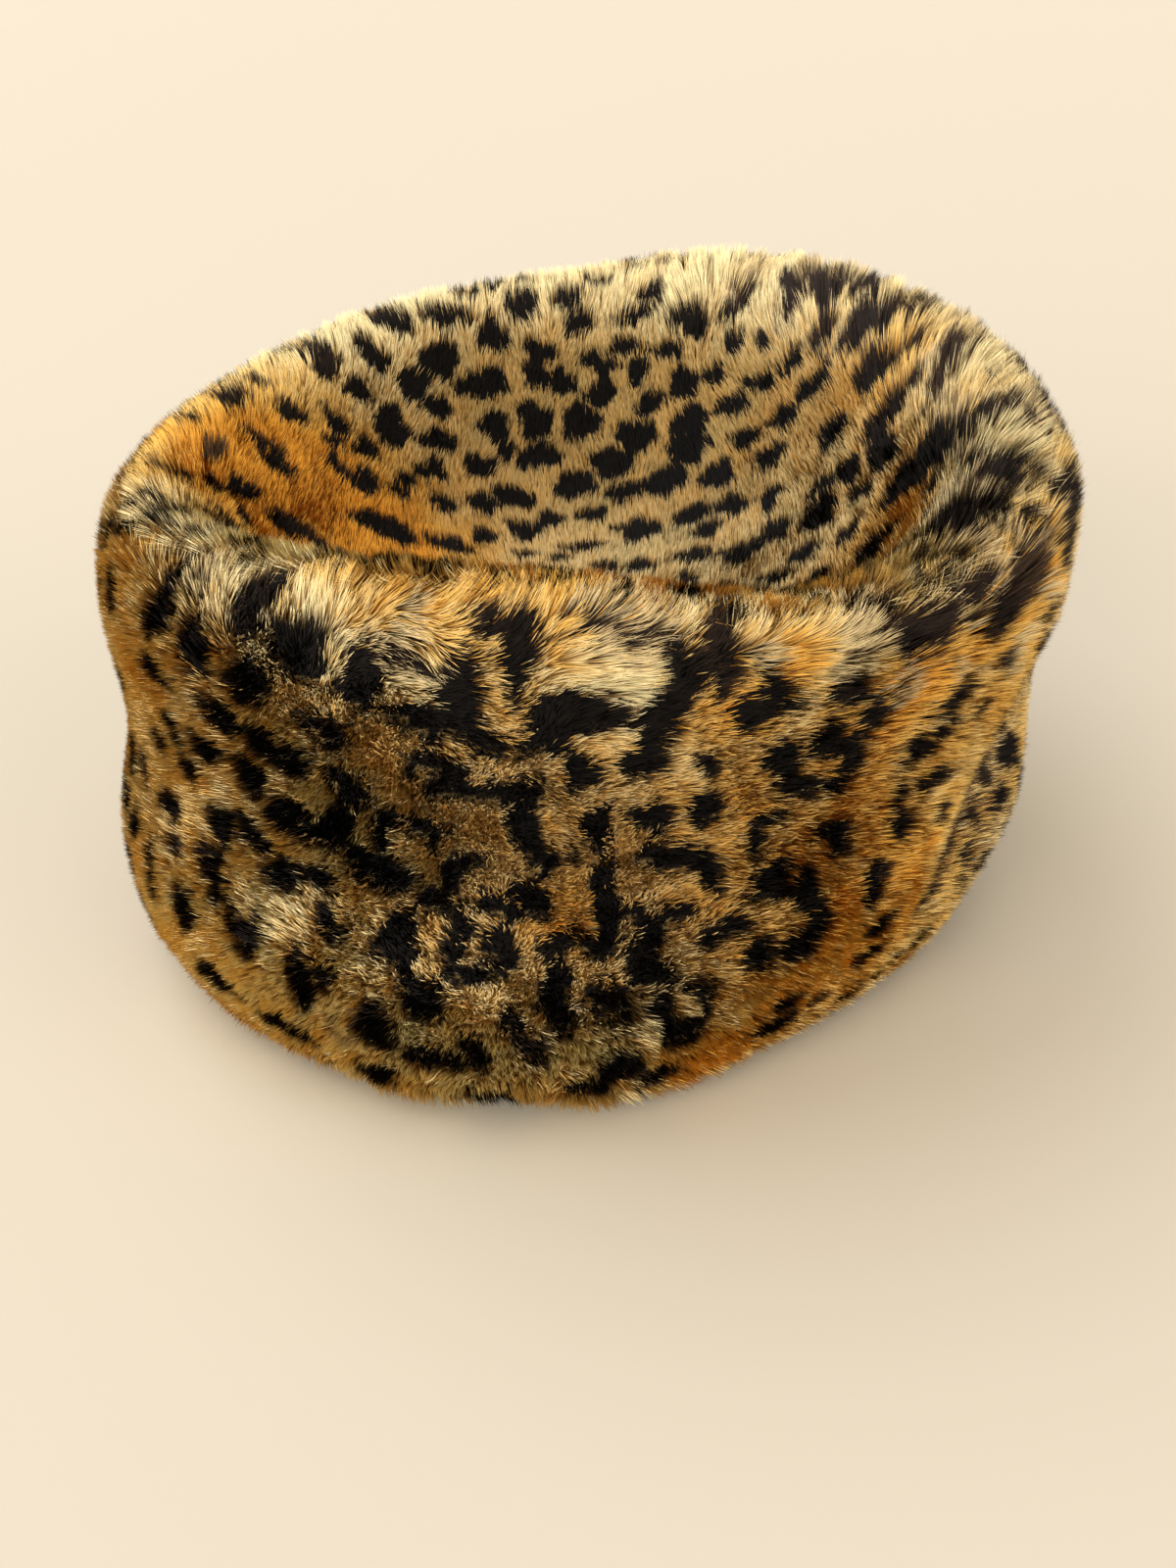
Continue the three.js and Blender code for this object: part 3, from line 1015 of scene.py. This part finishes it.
# Pile of the crown
# The crown's pile is shorter and stands almost upright in the dish, with small solid spots. On the rim it
# is as long as the band's and falls outwards.
CROWN_HAIRS = 236000
CROWN_HAIR_LENGTH = 3.9
CROWN_RIM_LENGTH = 4.0
CROWN_SHAG_LENGTH = 3.5
CROWN_LEAN = 24
CROWN_RIM_LEAN = 18
CROWN_SHAG_LEAN = 10
CROWN_BIG_TUFT = 8 * MM
CROWN_COAT_SHADE = 0.58
CROWN_DRIFT = 0.05
# Tip paleness of the crown: its low base is partly the short pile's own and partly painted shade in the dish;
# the left of the dish gets painted light and its far part painted shade
CROWN_BLEACH_AND_SHADE = 0.56
RIM_BLEACH = 0.3
LEFT_PAINTED_LIGHT = 0.36
FAR_PAINTED_SHADE = -0.2
CROWN_GRIZZLE = 0.04
CROWN_MARK_SHARE = 1.06
CROWN_MARK_GAP = 2 * MM
UNSEEN_BACK = 15 * MM
UNSEEN_ACROSS = 90 * MM

# The marks by their place in plan, across to the right and back from the middle
CROWN_MARKS = [
    # across, back, wide, tall, tip, ink
    (-49, 80, 8, 6, 0, 0.9),
    (-46, 76.5, 11, 6, 0, 1),
    (-33, 82, 12, 8, 0, 1),
    (-28, 92, 6, 6, 0, 0.9),
    (-21, 96, 6, 5, 0, 0.9),
    (-12, 97, 6, 4, 0, 0.9),
    (-20, 81, 10, 8, 0, 1),
    (-12, 88.5, 9, 10, 0, 1),
    (1, 90.5, 6, 8, 0, 1),
    (3.5, 85, 7, 7, 0, 1),
    (-8, 79.5, 8, 7, 0, 1),
    (-35, 71.5, 10, 10, 0, 1),
    (-23, 71, 13, 8, 0, 1),
    (-8.5, 75.5, 6, 7, 0, 1),
    (-1.5, 74.5, 7, 7, 0, 1),
    (-53.5, 67, 8, 6, -30, 1),
    (-50.5, 65, 6, 7, 0, 1),
    (-42, 64, 8, 9, 0, 1),
    (-35.5, 62.5, 9, 6, -20, 1),
    (-55, 55, 10, 6, 0, 1),
    (-67, 60, 9, 6, 0, 0.9),
    (-63, 56, 7, 8, 0, 0.9),
    (-47, 52.5, 9, 10, 0, 1),
    (-36, 56, 12, 6, 0, 1),
    (-20.5, 64.5, 8, 8, 0, 1),
    (-9.5, 67.5, 9, 9, 0, 1),
    (2.5, 67.5, 8, 9, 0, 1),
    (-25.5, 54.5, 8, 7, 0, 1),
    (-18, 60, 6, 6, 0, 1),
    (-9, 60, 10, 8, 0, 1),
    (0.5, 53, 10, 9, 0, 1),
    (-37, 49.5, 8, 7, 0, 1),
    (-43, 43.5, 6, 4, 0, 1),
    (-53, 44, 7, 5, 0, 1),
    (-60, 44.5, 9, 5, -25, 1),
    (-70.5, 37.5, 9, 6, 0, 0.9),
    (-84, 32, 9, 6, 0, 0.9),
    (-79, 41, 7, 4, 0, 0.9),
    (-75.5, 23, 11, 5, 0, 0.9),
    (-72, 20, 10, 5, 0, 1),
    (-60.5, 39, 6, 4, 0, 1),
    (-59, 34, 9, 5, -25, 0.9),
    (-53, 36, 8, 7, 0, 1),
    (-45.5, 39.5, 7, 4, 0, 1),
    (-67, 5, 15, 7, 25, 0.9),
    (-63, 6, 10, 5, 0, 0.9),
    (-48, 26, 14, 9, 0, 1),
    (-34, 41.5, 8, 5, -25, 1),
    (-24.5, 44.5, 8, 7, 0, 1),
    (-16, 48.5, 10, 8, 0, 1),
    (-23, 32.5, 7, 6, 0, 1),
    (-32, 26.5, 12, 6, -25, 0.9),
    (-13, 36, 9, 8, 0, 1),
    (-6, 40.5, 7, 6, 0, 1),
    (-84, 8, 6, 10, 0, 0.7),
    (-89, -14, 11, 5, 0, 0.9),
    (-13, 24, 7, 4, 0, 1),
    (0, 27, 7, 4, 0, 1),
    (-4, 22, 6, 3, 0, 1),
    (9, 94, 6, 6, 0, 1),
    (24, 88, 10, 6, 0, 1),
    (28, 96, 6, 5, 0, 0.9),
    (19, 84.5, 13, 4, 0, 1),
    (34, 80, 9, 8, 0, 1),
    (43.5, 76.5, 6, 4, 0, 1),
    (48.5, 79, 5, 10, 0, 0.8),
    (60.5, 67, 6, 5, 0, 0.9),
    (16, 79.5, 7, 5, 0, 1),
    (26.5, 76.5, 10, 5, 0, 1),
    (46, 70, 6, 6, 0, 1),
    (53, 65.5, 4, 5, 0, 0.9),
    (40, 67, 7, 5, 0, 1),
    (59, 56, 8, 6, 20, 1),
    (6.5, 78.5, 6, 4, 0, 1),
    (11, 76.5, 7, 5, 0, 1),
    (19, 74.5, 5, 7, 0, 1),
    (31.5, 69, 7, 9, 0, 1),
    (50.5, 58.5, 8, 6, -20, 1),
    (63.5, 46.5, 11, 6, 30, 1),
    (9, 72.5, 8, 7, 0, 1),
    (22.5, 68.5, 7, 7, 0, 1),
    (43.5, 59, 9, 6, 0, 1),
    (33, 61.5, 9, 9, 0, 1),
    (5, 67, 9, 8, 0, 1),
    (18, 63.5, 10, 8, 0, 1),
    (55.5, 47, 8, 6, 0, 1),
    (46, 50.5, 7, 5, 0, 1),
    (32, 56, 10, 9, 0, 1),
    (11.5, 58.5, 12, 8, 0, 1),
    (38.5, 45.5, 10, 8, 0, 1),
    (52, 41, 8, 6, 0, 1),
    (25, 50, 12, 9, 0, 1),
    (14, 49.5, 9, 7, 0, 1),
    (62, 21.5, 8, 5, 20, 1),
    (42, 33.5, 9, 7, 0, 1),
    (51, 29, 6, 8, 0, 1),
    (61, 13.5, 10, 9, 0, 0.9),
    (31.5, 35.5, 10, 8, 0, 1),
    (35, 27, 8, 6, 0, 1),
    (18.5, 33.5, 9, 10, 0, 1),
    (5, 42.5, 8, 6, 0, 1),
    (3.5, 27.5, 9, 5, 0, 1),
    (12.5, 35, 5, 4, 0, 1),
    (51, 16.5, 8, 7, 0, 1),
    (65.5, -3, 10, 6, 25, 1),
    (42, 14, 11, 7, 0, 1),
    (56, 1.5, 8, 7, 0, 1),
    (30, 16.5, 12, 6, 0, 1),
    (49, -4, 7, 6, 0, 1),
    (57, -12, 8, 6, 0, 1),
    (62, -22, 9, 3, 0, 1),
    (63, 71, 8, 12, 0, 0.82),
    (71, 68, 9, 15, 0, 0.82),
    (68, 56, 6, 10, -30, 0.79),
    (78, 47, 16, 10, 35, 0.86),
    (77.5, 34.5, 14, 10, 20, 0.82),
    (86, 33.5, 11, 5, 25, 0.79),
    (78.5, 21.5, 19, 7.5, 20, 0.82),
    (90, 14.5, 11, 5, 25, 0.78),
    (80, -3.5, 19, 12.5, 20, 1),
    (75.5, 12.8, 10, 10, 0, 0.89),
    (85.5, -6, 14, 11, 0, 1),
    (68.4, 18, 6, 10, 0, 1),
    (66, 32, 9, 7, 15, 1),
    (95, 22, 7.5, 12.5, -30, 0.78),
    (96, -8.5, 15, 6, 10, 0.82),
    (90.6, -10, 5, 11, 0, 0.86),
    (91, -34, 16, 9, 20, 0.92),
    (88.8, -23, 6, 9, 0, 0.89),
    (86, -53, 15, 10, 0, 0.86),
    (79.7, -44, 10, 7.5, 0, 0.92),
    (66.4, -20.6, 7.5, 15, -35, 1),
    (70.6, -17, 11, 6, -20, 1),
    (69.2, -56, 11, 9, 0, 0.96),
    (56, -74, 13, 4, 20, 0.95),
    (88, 47, 10, 9, 30, 0.78),
    (80, 60.5, 11, 10, 40, 0.82),
    (86.5, -52, 27.5, 11, -31, 0.9),
    (93.5, -39, 17.5, 10, -22, 0.9),
    (78, -59, 15, 9, -38, 0.9),
]

# Patches of its coat that are redder (below 0) or paler (above 0)
CROWN_PATCHES = [
    # across, back, spread, shift
    (-80, 0, 30, -0.46),
    (-68, 22, 26, -0.46),
    (-55, 5, 26, -0.42),
    (-50, 30, 22, -0.26),
    (-30, 22, 20, -0.14),
    (0, -88, 30, -0.26),
    (30, -84, 30, -0.26),
    (72, -12, 20, -0.2),
    (76, 40, 20, -0.16),
    (92, 0, 14, -0.16),
    (77, -15, 10, -0.2),
    (89, 31, 10, -0.2),
    (77, 26, 10, -0.16),
    (94, -19, 10, 0.2),
    (86, -32, 10, 0.16),
]

root, normal = scatter(crown_cloth, CROWN_HAIRS)
angle = np.degrees(np.arctan2(root[:, 0], -root[:, 1]))
out = np.hypot(root[:, 0], root[:, 1]) / MM
outwards = unit(root * (1, 1, 0))
uphill = unit(outwards - normal * (outwards * normal).sum(axis=1)[:, None])
sideways = np.cross(normal, uphill)
rim = step(78, 95, out)
lean = CROWN_LEAN + CROWN_RIM_LEAN * rim
shag = rim * step(20, 50, angle) * (1 - step(150, 175, angle))
length = CROWN_HAIR_LENGTH + CROWN_RIM_LENGTH * rim + CROWN_SHAG_LENGTH * shag
length = length * MM * rng.uniform(*LENGTH_SPREAD, CROWN_HAIRS)
lean += CROWN_SHAG_LEAN * shag
seen = seen_at(root, normal, uphill, lean, length)
surface = pile_surface("crown_tip")


def upper_face(across, back):
    """The place and normal of the crown's upper face at a place in plan."""
    place, normal, _, _ = surface.ray_cast(Vector((across * MM, back * MM, 1)), Vector((0, 0, -1)))
    return place, normal


marks = []
for across, back, wide, tall, tip, ink in CROWN_MARKS:
    place, face = upper_face(across, back)
    marks.append(mark_at(place, face, (1, 0, 0), CROWN_MARK_SHARE * wide, CROWN_MARK_SHARE * tall, tip, ink))
free = np.flatnonzero((root[:, 1] < UNSEEN_BACK) & (np.abs(root[:, 0]) < UNSEEN_ACROSS))
marks += chance_marks(seen[free], normal[free], marks, CROWN_MARK_GAP, 0.0)
dark, black = printed(seen, marks)
dye(crown_cloth, CROWN_PILE_DEPTH, marks)
swirl = 22 * ripple(root, BROAD_WISP, 41) + 16 * ripple(root, FINE_WISP, 42) + rng.normal(0, 12, CROWN_HAIRS)
swirl = np.radians(swirl)[:, None]
comb = uphill * np.cos(swirl) + sideways * np.sin(swirl)
lean += 8 * ripple(root, LEAN_WISP, 43) + rng.normal(0, 8, CROWN_HAIRS)
width = rng.uniform(*HAIR_WIDTH, CROWN_HAIRS) * MM
gather = GATHERED + 0.8 * rim + 0.5 * shag
hair, turned = hairs(root, normal, comb, np.radians(lean), length, width, gather)
tone = CROWN_COAT_SHADE + CROWN_DRIFT * ripple(root, DRIFT_WAVE, 44)
tone += rng.normal(0, HAIR_DIFFERENCE, CROWN_HAIRS)
for across, back, spread, shift in CROWN_PATCHES:
    tone += shift * patch(seen, upper_face(across, back)[0], spread)
tone = np.clip(tone, *COAT_SHADES)
big_tuft = tufts(root, CROWN_BIG_TUFT)
tone = dyed_shades(tone, shag > 0.3, big_tuft, CROWN_GRIZZLE, dark, black)
# How pale each tip is: lower than on the band, for the short pile and as painted shade in the dish, paler on
# the rim, and painted light on the dish's left wall
bleach_and_painted_light = CROWN_BLEACH_AND_SHADE + RIM_BLEACH * rim + LEFT_PAINTED_LIGHT * (1 - step(-70, -20, root[:, 0] / MM))
bleach_and_painted_light += rng.normal(0, BLEACH_SPREAD, CROWN_HAIRS)
# Painted shade on the far part of the dish, away from the rim
bleach_and_painted_light += FAR_PAINTED_SHADE * step(10, 60, root[:, 1] / MM) * (1 - rim)
bleach_and_painted_light = np.clip(bleach_and_painted_light, *BLEACH_RANGE)

for side, near in (("front", root[:, 1] < 0), ("back", root[:, 1] >= 0)):
    fur_piece(f"crown_fur_{side}", hair[near], turned[near], tone[near], bleach_and_painted_light[near])

# Floor
# A plain pale table top, out to the horizon.
FLOOR_COLOUR = (173, 169, 160)
bpy.ops.object.select_all(action="DESELECT")
bpy.ops.mesh.primitive_plane_add(size=12)
ground = bpy.context.object
ground.name = "floor"
paint = bpy.data.materials.new("floor")
paint.use_nodes = True
paint.node_tree.nodes["Principled BSDF"].inputs["Base Color"].default_value = srgb(*FLOOR_COLOUR)
paint.node_tree.nodes["Principled BSDF"].inputs["Roughness"].default_value = 0.6
ground.data.materials.append(paint)

# Light
# A bright room with a broad window high up behind the hat on the left, and lower windows in front of it
# on both sides.
WINDOW_WIDTH = 50
bpy.context.scene.view_settings.view_transform = "Standard"
world = bpy.data.worlds.new("studio")
bpy.context.scene.world = world
world.use_nodes = True
world.node_tree.nodes["Background"].inputs["Color"].default_value = (1.0, 0.87, 0.70, 1.0)
world.node_tree.nodes["Background"].inputs["Strength"].default_value = 1.25


def soft_light(name, direction, strength, colour):
    """A broad window far away, whose light runs in a direction."""
    lamp = bpy.data.lights.new(name, "SUN")
    lamp.energy = strength
    lamp.angle = math.radians(WINDOW_WIDTH)
    lamp.color = colour
    holder = bpy.data.objects.new(name, lamp)
    holder.rotation_euler = Vector(direction).to_track_quat("-Z", "Y").to_euler()
    bpy.context.scene.collection.objects.link(holder)


soft_light("window", (0.6, -0.35, -1.0), 1.75, (1.0, 0.99, 0.98))
soft_light("left fill", (0.58, 0.72, -0.2), 3.9, (1.0, 0.94, 0.84))
soft_light("right fill", (-0.75, 0.5, -0.35), 1.1, (1.0, 0.92, 0.8))

# Camera
# The view of the photograph: close in front of the hat, looking down at its crown.
CAMERA_PLACE = (0.0016, -0.3305, 0.226)
CAMERA_PITCH = 32.3
CAMERA_ROLL = 2.0
FOCAL_PIXELS = 1500
LONG_SIDE_PIXELS = 1600
lens = bpy.data.cameras.new("camera")
lens.sensor_width = 36
lens.lens = lens.sensor_width * FOCAL_PIXELS / LONG_SIDE_PIXELS
lens.clip_start = 0.01
camera = bpy.data.objects.new("camera", lens)
bpy.context.scene.collection.objects.link(camera)
tilt = Matrix.Rotation(math.radians(90 - CAMERA_PITCH), 4, "X")
turn = Matrix.Rotation(math.radians(-CAMERA_ROLL), 4, "Z")
camera.matrix_world = Matrix.Translation(CAMERA_PLACE) @ tilt @ turn
bpy.context.scene.camera = camera
